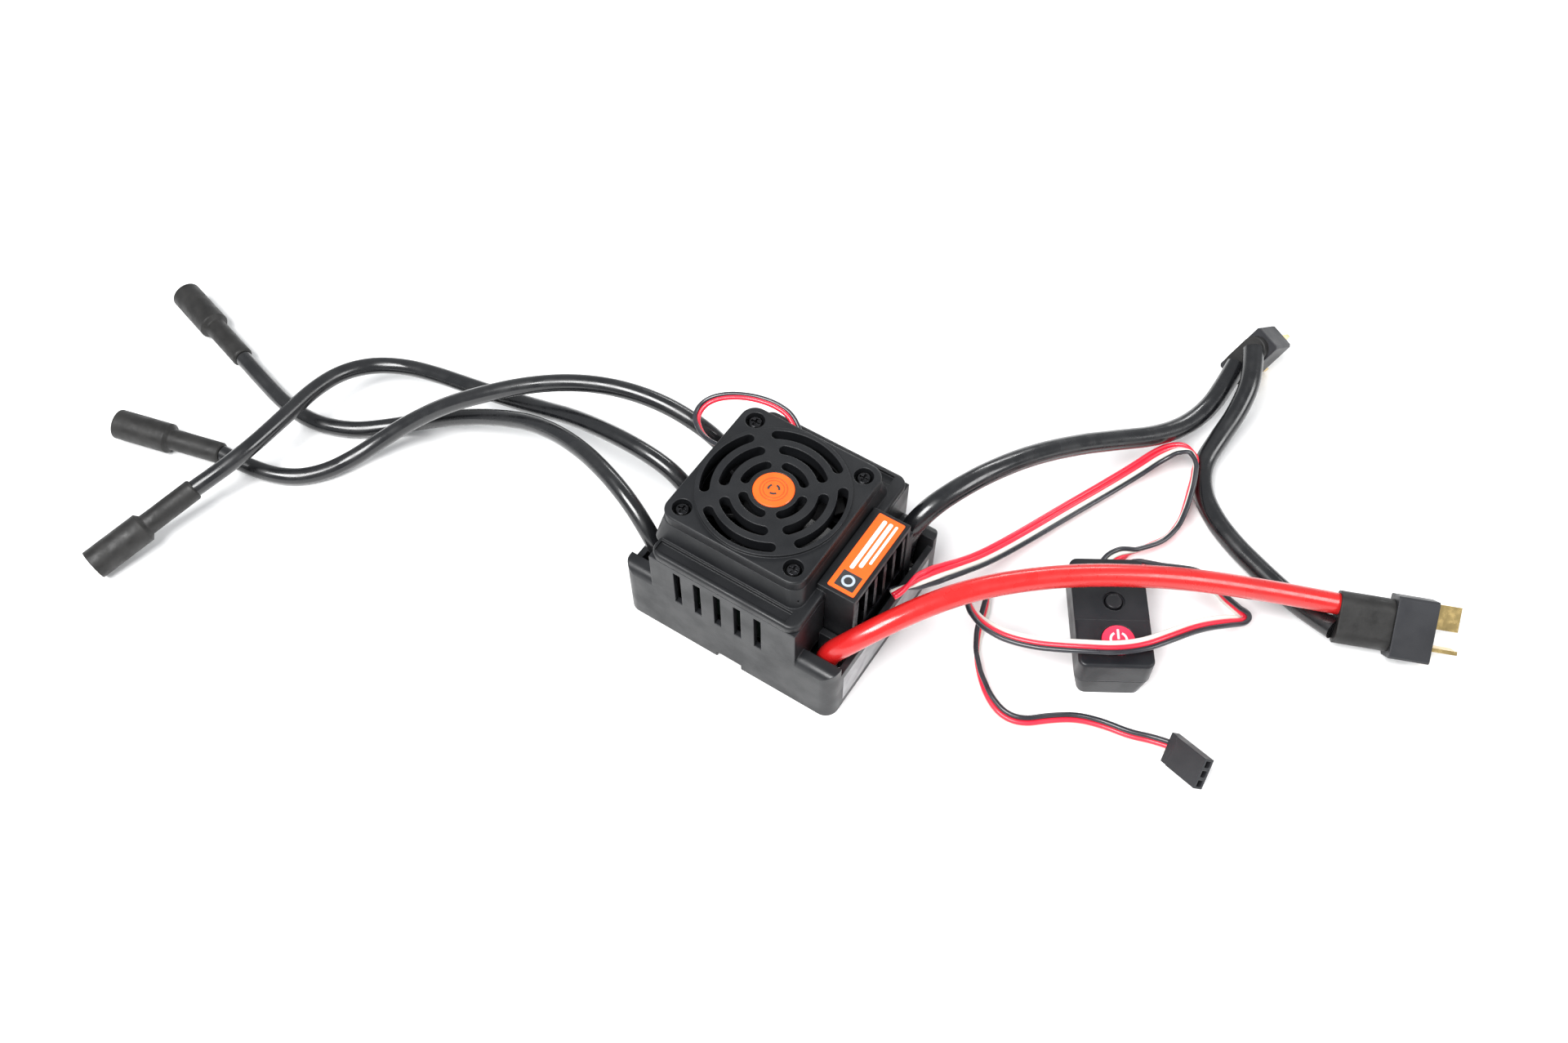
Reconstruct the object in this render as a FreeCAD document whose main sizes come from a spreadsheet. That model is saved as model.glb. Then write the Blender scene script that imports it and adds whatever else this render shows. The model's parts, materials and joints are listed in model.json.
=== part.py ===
"""Electronic speed controller for a model car, with its fan, leads and switch box.

+X runs from the motor leads to the battery leads, +Y away from the louvred side,
+Z up. The origin is the centre of the case's base. All sizes are millimetres.
"""
import FreeCAD
import Part
import math
import os
import re
import Sketcher

from FreeCAD import Placement, Rotation, Vector

doc = FreeCAD.newDocument("speed_controller")

# ---------------------------------------------------------------- driving dimensions
DIMENSIONS = {
    "case_length": 62.5, "case_width": 53.5, "corner_radius": 3.5, "wall": 1.6,
    "shoulder_height": 19.5, "end_wall_height": 16, "block_height": 30.7,
    "block_back": -22, "block_front": 20.5, "cheek_width": 4.4,
    "louvre_width": 2.1, "louvre_pitch": 5.9, "louvre_low": 15.9, "louvre_high": 29,
    "cover_low": 31, "lip_top": 33, "tier_top": 38,
    "fan_middle": -2.9, "fan_side": 40, "fan_low": 25, "fan_high": 35,
    "screw_spacing": 32, "guard_side": 40.5, "guard_top": 41, "disc_top": 41.8,
    "disc_radius": 19.3, "hub_radius": 8.2, "fan_bore": 18.8,
    "fin_pitch": 4.4, "fin_thickness": 1.3, "hood_top": 35,
    "board_low": 6, "board_thickness": 1.6,
    "box_width": 19, "box_length": 32, "box_height": 13.8, "box_seam": 6.2,
    "motor_lead": 4.7, "battery_lead": 5.7, "switch_ribbon": 3, "receiver_ribbon": 2.4,
    "fan_lead": 1.8, "socket_bore": 4.04,
}
sheet = doc.addObject("Spreadsheet::Sheet", "Dimensions")
for row, (alias, number) in enumerate(DIMENSIONS.items(), start=1):
    sheet.set("A%d" % row, alias)
    sheet.set("B%d" % row, str(number))
    sheet.setAlias("B%d" % row, alias)
doc.recompute()


def val(text):
    """The number that a formula of sheet cells gives."""
    if isinstance(text, (int, float)):
        return float(text)
    return float(sheet.evalExpression(text))


def bind(thing, path, text):
    """Drive a property from the sheet, or set it where the size is a plain number."""
    formula = re.sub(r"[a-z][a-z_]+", lambda word: "Dimensions." + word.group(), str(text))
    thing.setExpression(path, formula)


# ---------------------------------------------------------------- building helpers
def block(name, low, size):
    """A box from its low corner and its size, each a triple of formulas."""
    box = doc.addObject("Part::Box", name)
    for path, text in zip(("Length", "Width", "Height"), size):
        bind(box, path, text)
    for path, text in zip("xyz", low):
        bind(box, "Placement.Base." + path, text)
    return box


def post(name, foot, radius, height):
    """An upright cylinder from the middle of its foot."""
    rod = doc.addObject("Part::Cylinder", name)
    bind(rod, "Radius", radius)
    bind(rod, "Height", height)
    for path, text in zip("xyz", foot):
        bind(rod, "Placement.Base." + path, text)
    return rod


def fused(name, shapes):
    joined = doc.addObject("Part::MultiFuse", name)
    joined.Shapes = shapes
    return joined


def cut(name, base, tools):
    """The base less all the tools."""
    rest = doc.addObject("Part::Cut", name)
    rest.Base = base
    rest.Tool = tools[0] if len(tools) == 1 else fused(name + "_tools", tools)
    return rest


def solid(name, shape):
    """A plain feature with a shape of its own."""
    feature = doc.addObject("Part::Feature", name)
    feature.Shape = shape
    return feature


def origin_plane(body, role):
    return [item for item in body.Origin.OriginFeatures if item.Role == role][0]


def sketch_on(body, name, height, role="XY_Plane"):
    """A sketch on one of a body's origin planes, lifted by a formula of cells."""
    sketch = body.newObject("Sketcher::SketchObject", name)
    sketch.AttachmentSupport = [(origin_plane(body, role), "")]
    sketch.MapMode = "FlatFace"
    bind(sketch, "AttachmentOffset.Base.z", height)
    return sketch


def pad(body, name, sketch, length):
    feature = body.newObject("PartDesign::Pad", name)
    feature.Profile = sketch
    bind(feature, "Length", length)
    return feature


def pocket(body, name, sketch, depth):
    """A pocket that cuts down from its sketch, and must remove something."""
    doc.recompute()
    before = body.Shape.Volume
    feature = body.newObject("PartDesign::Pocket", name)
    feature.Profile = sketch
    bind(feature, "Length", depth)
    doc.recompute()
    assert body.Shape.Volume < before - 0.01, name + " cuts nothing"
    return feature


def add_line(sketch, start, end):
    return sketch.addGeometry(Part.LineSegment(Vector(*start, 0), Vector(*end, 0)), False)


def rounded_rectangle(sketch, middle, length, width, radius):
    """A rectangle with round corners whose sizes are bound to the sheet."""
    cx, cy = val(middle[0]), val(middle[1])
    hx, hy, r = val(length) / 2, val(width) / 2, val(radius)
    quarter = math.pi / 2
    add_line(sketch, (cx - hx + r, cy - hy), (cx + hx - r, cy - hy))
    add_line(sketch, (cx + hx, cy - hy + r), (cx + hx, cy + hy - r))
    add_line(sketch, (cx + hx - r, cy + hy), (cx - hx + r, cy + hy))
    add_line(sketch, (cx - hx, cy + hy - r), (cx - hx, cy - hy + r))
    corners = ((hx - r, r - hy), (hx - r, hy - r), (r - hx, hy - r), (r - hx, r - hy))
    for index, (dx, dy) in enumerate(corners):
        circle = Part.Circle(Vector(cx + dx, cy + dy, 0), Vector(0, 0, 1), r)
        start = (index - 1) * quarter
        sketch.addGeometry(Part.ArcOfCircle(circle, start, start + quarter), False)
    for index in range(4):
        sketch.addConstraint(Sketcher.Constraint("Tangent", index, 2, 4 + index, 1))
        sketch.addConstraint(Sketcher.Constraint("Tangent", 4 + index, 2, (index + 1) % 4, 1))
    for index in (0, 2):
        sketch.addConstraint(Sketcher.Constraint("Horizontal", index))
        sketch.addConstraint(Sketcher.Constraint("Vertical", index + 1))
    for index in (5, 6, 7):
        sketch.addConstraint(Sketcher.Constraint("Equal", 4, index))
    sizes = (("Radius", (4,), r, radius),
             ("DistanceX", (0, 1, 0, 2), 2 * (hx - r), "(%s) - 2 * (%s)" % (length, radius)),
             ("DistanceY", (1, 1, 1, 2), 2 * (hy - r), "(%s) - 2 * (%s)" % (width, radius)))
    for kind, where, number, text in sizes:
        at = sketch.addConstraint(Sketcher.Constraint(kind, *where, number))
        bind(sketch, "Constraints[%d]" % at, text)
    for kind, place in (("DistanceX", cx - hx + r), ("DistanceY", cy - hy)):
        sketch.addConstraint(Sketcher.Constraint(kind, -1, 1, 0, 1, place))


def circle(sketch, middle, radius):
    """A circle in a sketch, its radius bound to the sheet."""
    point = Vector(val(middle[0]), val(middle[1]), 0)
    shape = Part.Circle(point, Vector(0, 0, 1), val(radius))
    index = sketch.addGeometry(shape, False)
    at = sketch.addConstraint(Sketcher.Constraint("Radius", index, val(radius)))
    bind(sketch, "Constraints[%d]" % at, radius)


def prism(name, middle, length, width, radius, low, height):
    """A PartDesign body: one rounded rectangle padded upwards."""
    body = doc.addObject("PartDesign::Body", name)
    sketch = sketch_on(body, name + "_outline", low)
    rounded_rectangle(sketch, middle, length, width, radius)
    pad(body, name + "_pad", sketch, height)
    return body


def turned(name, profile):
    """A PartDesign body turned about Z from a profile of (radius, height) corners."""
    body = doc.addObject("PartDesign::Body", name)
    sketch = sketch_on(body, name + "_profile", 0, "XZ_Plane")
    last = len(profile)
    for index in range(last):
        add_line(sketch, profile[index], profile[(index + 1) % last])
    for index in range(last):
        sketch.addConstraint(Sketcher.Constraint("Coincident", index, 2, (index + 1) % last, 1))
    feature = body.newObject("PartDesign::Revolution", name + "_turn")
    feature.Profile = sketch
    feature.ReferenceAxis = (sketch, ["V_Axis"])
    feature.Angle = 360
    return body


def group(name, makers):
    """Identical pieces that share one node, as a compound of separate solids."""
    return solid(name, Part.makeCompound(makers))




NODES = {}


def node(name, thing):
    """Register a finished sub-part under its file name."""
    thing.Label = name
    NODES[name] = thing
    return thing


# ---------------------------------------------------------------- case: the lower tray
SIDES = (-1, 1)
BOSS_X = (-18, 15)
BOSS_Y = 22.6
INNER_Y = "case_width / 2 - cheek_width"
INNER_WIDTH = "case_width - 2 * cheek_width"


def boss_places():
    return [(x, side * BOSS_Y) for x in BOSS_X for side in SIDES]


def cut_both_ends(name):
    """What is taken away above the shoulders and inside the two end pockets."""
    back, front = "case_length / 2 + block_back", "case_length / 2 - block_front"
    over = "block_height - shoulder_height + 1"
    return [
        block(name + "_over_back", ("-case_length / 2 - 1", "-case_width / 2 - 1", "shoulder_height"),
              (back + " + 1", "case_width + 2", over)),
        block(name + "_over_front", ("block_front", "-case_width / 2 - 1", "shoulder_height"),
              (front + " + 1", "case_width + 2", over)),
        block(name + "_pocket_back", ("-case_length / 2 + wall", "-(" + INNER_Y + ")", "wall"),
              (back + " - wall", INNER_WIDTH, "block_height")),
        block(name + "_pocket_front", ("block_front", "-(" + INNER_Y + ")", "wall"),
              (front + " - wall", INNER_WIDTH, "block_height")),
        block(name + "_end_walls", ("-case_length / 2 - 1", "-(" + INNER_Y + ")", "end_wall_height"),
              (back + " + 1", INNER_WIDTH, "block_height")),
        block(name + "_front_wall", ("block_front", "-(" + INNER_Y + ")", "end_wall_height"),
              (front + " + 1", INNER_WIDTH, "block_height")),
    ]


def shoulder_rounding(name, low_x, length):
    """What is left between a square shoulder edge and its round one, on both sides."""
    tools = []
    radius = 2.4
    for side in SIDES:
        middle_y = side * (val("case_width") / 2 - radius)
        middle_z = val("shoulder_height") - radius
        low_y = middle_y if side > 0 else middle_y - radius - 1
        square = Part.makeBox(length, radius + 1, radius + 1, Vector(low_x, low_y, middle_z))
        edge = Part.makeCylinder(radius, length, Vector(low_x, middle_y, middle_z), Vector(1, 0, 0))
        tools.append(solid("%s_%d" % (name, side + 1), square.cut(edge)))
    return tools


def make_base_tray():
    outer = prism("tray_outer", ("0", "0"), "case_length", "case_width", "corner_radius",
                  "0", "block_height")
    tools = cut_both_ends("tray")
    tools.append(block("tray_middle", ("block_back + wall", "-case_width / 2 + wall", "wall"),
                       ("block_front - block_back - 2 * wall", "case_width - 2 * wall",
                        "block_height")))
    tools.append(block("tray_tunnel", ("-case_length / 2 + wall", "-(" + INNER_Y + ")", "wall"),
                       ("case_length - 2 * wall", INNER_WIDTH, "12.2")))
    tools.append(block("tray_fan_window", ("block_back - 1", "-20.3", "24.5"), ("3", "40.6", "9")))
    tools.append(block("tray_fin_window", ("block_front - 2", "-13.6", "13.6"), ("3", "27.2", "20")))
    for index in range(5):
        low = ("-14.9 + %d * louvre_pitch" % index, "-case_width / 2 - 1", "louvre_low")
        tools.append(block("louvre_%d" % index, low,
                           ("louvre_width", "case_width + 2", "louvre_high - louvre_low")))
    for side in SIDES:
        low_y = "case_width / 2 - 1.15" if side > 0 else "-case_width / 2 - 1"
        tools.append(block("base_notch_%d" % (side + 1), ("-3", low_y, "-1"), ("7.5", "2.15", "3")))
    tools.append(block("sticker_recess", ("case_length / 2 - 0.2", "-21", "2"), ("1", "42", "11")))
    tools += shoulder_rounding("rounding_back", -32, 10)
    tools += shoulder_rounding("rounding_front", val("block_front"), 12)
    shell = cut("tray_shell", outer, tools)
    bosses = [post("tray_boss_%d" % index, (x, y, "wall - 0.1"), "2.3", "10.5")
              for index, (x, y) in enumerate(boss_places())]
    ribs = [block("rib_far", ("block_front - 0.1", "13.7", "8.6"), ("7.9", "2", "20.4")),
            block("rib_near", ("block_front - 0.1", "-15.4", "8.6"), ("5", "1.8", "8.6"))]
    solid_tray = fused("tray_with_bosses", [shell] + bosses + ribs)
    holes = []
    for index, (x, y) in enumerate(boss_places()):
        holes.append(post("tray_screw_hole_%d" % index, (x, y, "-1"), "1.2", "15"))
        holes.append(post("tray_head_recess_%d" % index, (x, y, "-1"), "2.2", "2.5"))
    return node("base_tray", cut("tray", solid_tray, holes))


# ---------------------------------------------------------------- case: the upper cover
def rounded_wire(low_x, high_x, half_y, radius, z):
    """A closed wire of four lines and four arcs at one height."""
    lines = []
    corners = ((high_x, -half_y, -90), (high_x, half_y, 0), (low_x, half_y, 90), (low_x, -half_y, 180))
    ends = []
    for x, y, start in corners:
        middle = Vector(x - math.copysign(radius, x - (low_x + high_x) / 2),
                        y - math.copysign(radius, y), z)
        arc_points = [middle + Vector(math.cos(math.radians(start + turn)),
                                      math.sin(math.radians(start + turn)), 0) * radius
                      for turn in (0, 45, 90)]
        ends.append(arc_points)
    for index, points in enumerate(ends):
        lines.append(Part.Arc(*points).toShape())
        lines.append(Part.LineSegment(points[2], ends[(index + 1) % 4][0]).toShape())
    return Part.Wire(lines)


def round_top(body, feature, radius, height):
    """Fillet every edge of a body that lies at one height."""
    doc.recompute()
    names = ["Edge%d" % (index + 1) for index, edge in enumerate(body.Shape.Edges)
             if edge.BoundBox.ZMin > height - 0.01]
    fillet = body.newObject("PartDesign::Fillet", feature.Name + "_round")
    fillet.Base = (feature, names)
    bind(fillet, "Radius", radius)
    return fillet


def fan_screw_places():
    half = val("screw_spacing") / 2
    return [(val("fan_middle") + a * half, b * half) for a in SIDES for b in SIDES]


def make_upper_cover():
    flange = prism("cover_flange", ("(block_back + block_front) / 2", "0"),
                   "block_front - block_back", "case_width", "3", "cover_low",
                   "lip_top - cover_low")
    round_top(flange, doc.cover_flange_pad, "0.9", val("lip_top"))
    low, high = val("lip_top") - 1.6, val("tier_top")
    tier = solid("cover_tier", Part.makeLoft([rounded_wire(-24.4, 18.4, 22.2, 3, low),
                                              rounded_wire(-23.15, 17.35, 20.3, 3.8, high)], True))
    hood = block("cover_hood", ("18.2", "-13.3", "16.3"), ("10.3", "26.6", "hood_top - 16.3"))
    bosses = [post("cover_boss_%d" % index, (x, y, "12.3"), "2.3", "cover_low - 12.2")
              for index, (x, y) in enumerate(boss_places())]
    joined = fused("cover_solid", [flange, tier, hood] + bosses)
    side = "fan_side + 0.1"
    tools = [
        block("cover_fan_room", ("fan_middle - fan_side / 2 - 0.05", "-fan_side / 2 - 0.05", "30"),
              (side, side, "5.05")),
        post("cover_fan_opening", ("fan_middle", "0", "30"), "19", "10"),
        block("cover_fin_room", ("18.6", "-12.1", "16"), ("11", "24.2", "17.4")),
        block("cover_sink_room", ("17", "-13.4", "16"), ("2", "26.8", "9")),
    ]
    for sign in SIDES:
        low_y = "22.4" if sign > 0 else "-25.4"
        tools.append(block("cover_trough_%d" % (sign + 1), ("-21", low_y, "lip_top - 0.9"),
                           ("38", "3", "2")))
    for index, (x, y) in enumerate(fan_screw_places()):
        tools.append(post("cover_screw_hole_%d" % index, (x, y, "34"), "1.3", "5"))
    for index, (x, y) in enumerate(boss_places()):
        tools.append(post("cover_boss_hole_%d" % index, (x, y, "12"), "0.95", "12"))
    return node("upper_cover", cut("cover", joined, tools))


# ---------------------------------------------------------------- heat sink
def make_heatsink():
    half_fin = val("fin_thickness") / 2
    parts = [
        block("sink_base", ("-20", "-19.4", "16"), ("38.3", "38.8", "2")),
        block("sink_tongue", ("18.2", "-11.65", "14"), ("10", "23.3", "4")),
        block("sink_foot", ("-14", "-16", "11"), ("24", "32", "5.1")),
    ]
    for index in range(8):
        y = (index - 3.5) * val("fin_pitch") - half_fin
        parts.append(block("fan_fin_%d" % index, ("-20", y, "17.9"),
                           ("38.3", "fin_thickness", "6.6")))
    for index in range(6):
        y = (index - 2.5) * val("fin_pitch") - half_fin
        parts.append(block("end_fin_%d" % index, ("19.2", y, "17.9"),
                           ("9", "fin_thickness", "12.9")))
        parts.append(block("end_fin_top_%d" % index, ("19.2", y, "30.7"),
                           ("6.8", "fin_thickness", "2.3")))
        corner = Part.makeCylinder(2.2, val("fin_thickness"), Vector(26, y, 30.8), Vector(0, 1, 0))
        parts.append(solid("end_fin_corner_%d" % index, corner))
    return node("heatsink", fused("sink", parts))


# ---------------------------------------------------------------- cooling fan


def on_fan_axis(thing):
    bind(thing, "Placement.Base.x", "fan_middle")
    return thing


def make_fan_frame():
    outer = prism("frame_outer", ("0", "0"), "fan_side", "fan_side", "3.5", "fan_low",
                  "fan_high - fan_low")
    bore = post("frame_bore", (0, 0, "fan_low - 1"), "fan_bore", "fan_high - fan_low + 2")
    ring = cut("frame_ring", outer, [bore])
    base = post("frame_motor_base", (0, 0, "fan_low"), "hub_radius", "1.2")
    struts = [block("frame_strut_x", ("-19", "-1", "fan_low"), ("38", "2", "1.2")),
              block("frame_strut_y", ("-1", "-19", "fan_low"), ("2", "38", "1.2"))]
    half = val("screw_spacing") / 2
    holes = [post("frame_hole_%d%d" % (a + 1, b + 1), (a * half, b * half, "fan_low - 1"), "1", "12")
             for a in SIDES for b in SIDES]
    return node("fan_frame", on_fan_axis(cut("frame", fused("frame_solid", [ring, base] + struts),
                                             holes)))


def make_fan_rotor():
    """A cup with seven pitched blades; the cup's rim clears the fan's small board."""
    hub = turned("rotor_hub", [(0, 33.4), (7.4, 33.4), (7.4, 27.6), (8.2, 27.6), (8.2, 33.6),
                               (7.6, 34.3), (0, 34.3)])
    doc.recompute()
    trim = Part.makeCylinder(18.25, 12, Vector(0, 0, 25))
    trim = trim.cut(Part.makeCylinder(7.8, 14, Vector(0, 0, 24)))
    blades = []
    for index in range(7):
        blade = Part.makeBox(12, 7.6, 0.9, Vector(7, -3.8, -0.45))
        blade.rotate(Vector(0, 0, 0), Vector(1, 0, 0), 38)
        blade.translate(Vector(0, 0, 30.7))
        blade.rotate(Vector(0, 0, 0), Vector(0, 0, 1), index * 360 / 7)
        blades.append(solid("rotor_blade_%d" % index, blade.common(trim)))
    return node("fan_rotor", on_fan_axis(fused("rotor", [hub] + blades)))


def make_fan_motor():
    node("rotor_magnet_ring", on_fan_axis(turned("magnet", [(6.3, 28), (7.4, 28), (7.4, 32),
                                                            (6.3, 32)])))
    node("fan_shaft", on_fan_axis(turned("shaft", [(0, 27), (1, 27), (1, 33.4), (0, 33.4)])))
    node("fan_bearing", on_fan_axis(turned("bearing", [(1.03, 26.2), (2.2, 26.2), (2.2, 33),
                                                       (1.03, 33)])))
    node("fan_circuit_board", on_fan_axis(turned("fan_board", [(2.4, 26.2), (6, 26.2), (6, 27),
                                                               (2.4, 27)])))
    core_parts = [post("core_disc", (0, 0, "28.2"), "3.3", "3"),
                  block("core_arm_x", ("-5.9", "-1", "28.2"), ("11.8", "2", "3")),
                  block("core_arm_y", ("-1", "-5.9", "28.2"), ("2", "11.8", "3"))]
    core = cut("core", fused("core_solid", core_parts), [post("core_hole", (0, 0, "27"), "2.2", "6")])
    node("fan_stator", on_fan_axis(core))
    coils = []
    for index in range(4):
        coil = Part.makeBox(1.6, 3.6, 4.2, Vector(3.7, -1.8, 27.6))
        coil = coil.cut(Part.makeBox(3, 2.04, 3.04, Vector(3, -1.02, 28.18)))
        coil.rotate(Vector(0, 0, 0), Vector(0, 0, 1), index * 90)
        coils.append(coil)
    node("fan_coils", on_fan_axis(group("coils", coils)))


# ---------------------------------------------------------------- fan guard and trim
# Each ring of slots: inner and outer radius, first and last angle of a slot.
GUARD_RINGS = ((6.4, 8.8, 37.25, 107.75), (11.0, 13.7, 43, 117), (15.6, 18.2, 50, 125))


def add_slot(sketch, low, high, first, last):
    """A bent slot with round ends, as two long arcs and two end arcs."""
    middle, half = (low + high) / 2, (high - low) / 2
    inset = math.asin(half / middle)
    start, end = math.radians(first) + inset, math.radians(last) - inset
    up = Vector(0, 0, 1)
    for radius in (high, low):
        arc = Part.ArcOfCircle(Part.Circle(Vector(0, 0, 0), up, radius), start, end)
        sketch.addGeometry(arc, False)
    for angle, turn in ((end, 0), (start, math.pi)):
        point = Vector(math.cos(angle), math.sin(angle), 0) * middle
        arc = Part.ArcOfCircle(Part.Circle(point, up, half), angle + turn, angle + turn + math.pi)
        sketch.addGeometry(arc, False)


def make_fan_guard():
    body = prism("guard", ("0", "0"), "guard_side", "guard_side", "4", "tier_top",
                 "guard_top - tier_top")
    round_top(body, doc.guard_pad, "0.5", val("guard_top"))
    disc = sketch_on(body, "guard_disc", "guard_top")
    circle(disc, ("0", "0"), "disc_radius")
    pad(body, "guard_disc_pad", disc, "disc_top - guard_top")
    slots = sketch_on(body, "guard_slots", "disc_top")
    for ring in GUARD_RINGS:
        add_slot(slots, *ring)
    slot_pocket = pocket(body, "guard_slot_pocket", slots, "disc_top - tier_top + 1")
    pattern = body.newObject("PartDesign::PolarPattern", "guard_slot_pattern")
    pattern.Originals = [slot_pocket]
    pattern.Axis = (slots, ["N_Axis"])
    pattern.Angle = 360
    pattern.Occurrences = 4
    body.Tip = pattern
    holes = sketch_on(body, "guard_holes", "guard_top")
    recesses = sketch_on(body, "guard_recesses", "guard_top")
    for a in SIDES:
        for b in SIDES:
            place = ("%d * screw_spacing / 2" % a, "%d * screw_spacing / 2" % b)
            circle(holes, place, "1.3")
            circle(recesses, place, "2.5")
    pocket(body, "guard_hole_pocket", holes, "guard_top - tier_top + 1")
    pocket(body, "guard_recess_pocket", recesses, "2.1")
    seat = sketch_on(body, "guard_seat", "disc_top")
    circle(seat, ("0", "0"), "5.3")
    pocket(body, "guard_seat_pocket", seat, "0.5")
    return node("fan_guard", on_fan_axis(body))


def screw(name, profile, top, cross):
    """One cross-head screw, standing on the Z axis."""
    body = turned(name, profile)
    doc.recompute()
    shape = body.Shape
    for length, width in ((cross, 0.6), (0.6, cross)):
        shape = shape.cut(Part.makeBox(length, width, 1, Vector(-length / 2, -width / 2, top - 0.8)))
    return shape


def make_screws():
    guard_screw = screw("guard_screw", [(0, 27), (1.1, 27), (1.1, 38.9), (2, 38.9), (2, 39.9),
                                        (1.5, 40.4), (0, 40.4)], 40.4, 2.4)
    copies = []
    for x, y in fan_screw_places():
        copy = guard_screw.copy()
        copy.translate(Vector(x, y, 0))
        copies.append(copy)
    node("guard_screws", group("guard_screw_set", copies))
    case_screw = screw("case_screw", [(0, -20), (1, -20), (1, -1.5), (2.1, -1.4), (2.1, -0.2),
                                      (0, -0.2)], -0.2, 2.6)
    case_screw.rotate(Vector(0, 0, 0), Vector(1, 0, 0), 180)
    copies = []
    for x, y in boss_places():
        copy = case_screw.copy()
        copy.translate(Vector(x, y, 0))
        copies.append(copy)
    node("case_screws", group("case_screw_set", copies))


def make_trim():
    disk = turned("centre_disk", [(0, 41.3), (5.2, 41.3), (5.2, 41.8), (5, 42), (0, 42)])
    node("guard_centre_disk", on_fan_axis(disk))
    plate = prism("label", ("23.9", "0.05"), "7.4", "24.5", "0.4", "hood_top", "0.3")
    node("label_plate", plate)
    sticker = block("sticker", ("case_length / 2 - 0.2", "-20.9", "2.1"), ("0.2", "41.8", "10.8"))
    node("end_sticker", sticker)


# ---------------------------------------------------------------- electronics
def make_electronics():
    top = val("board_low") + val("board_thickness")
    board = prism("board", ("0", "0"), "56", "40", "2", "board_low", "board_thickness")
    node("main_circuit_board", board)
    chips = [Part.makeBox(4.6, 5, 2.4, Vector(-13 + 5.6 * column, -14.5 + 8 * line_number, top))
             for column in range(4) for line_number in range(4)]
    node("power_transistors", group("transistors", chips))
    pad_low = top + 2.4
    node("thermal_pad", block("gap_pad", ("-14", "-15.5", pad_low), ("24", "31", 11 - pad_low)))
    cans = [Part.makeCylinder(3, 11, Vector(24, start, top + 3.05), Vector(0, 1, 0))
            for start in (-11.6, 0.6)]
    node("input_capacitors", group("capacitors", cans))
    node("control_chip", block("chip", ("12", "-3.5", top), ("6", "7", "1.2")))
    tabs = [Part.makeBox(5, 4.6, 1, Vector(-27.6, y - 2.3, top)) for y in (-17.5, 0, 17.5)]
    node("motor_terminals", group("motor_tabs", tabs))
    tabs = []
    for side in SIDES:
        tab = Part.makeBox(8, 3.4, 1, Vector(20.8, side * 18.2 - 1.7, top))
        tabs.append(tab.fuse(Part.makeSphere(1, Vector(27.9, side * 17.6, top + 1.4))))
    node("battery_terminals", group("battery_tabs", tabs))


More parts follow.
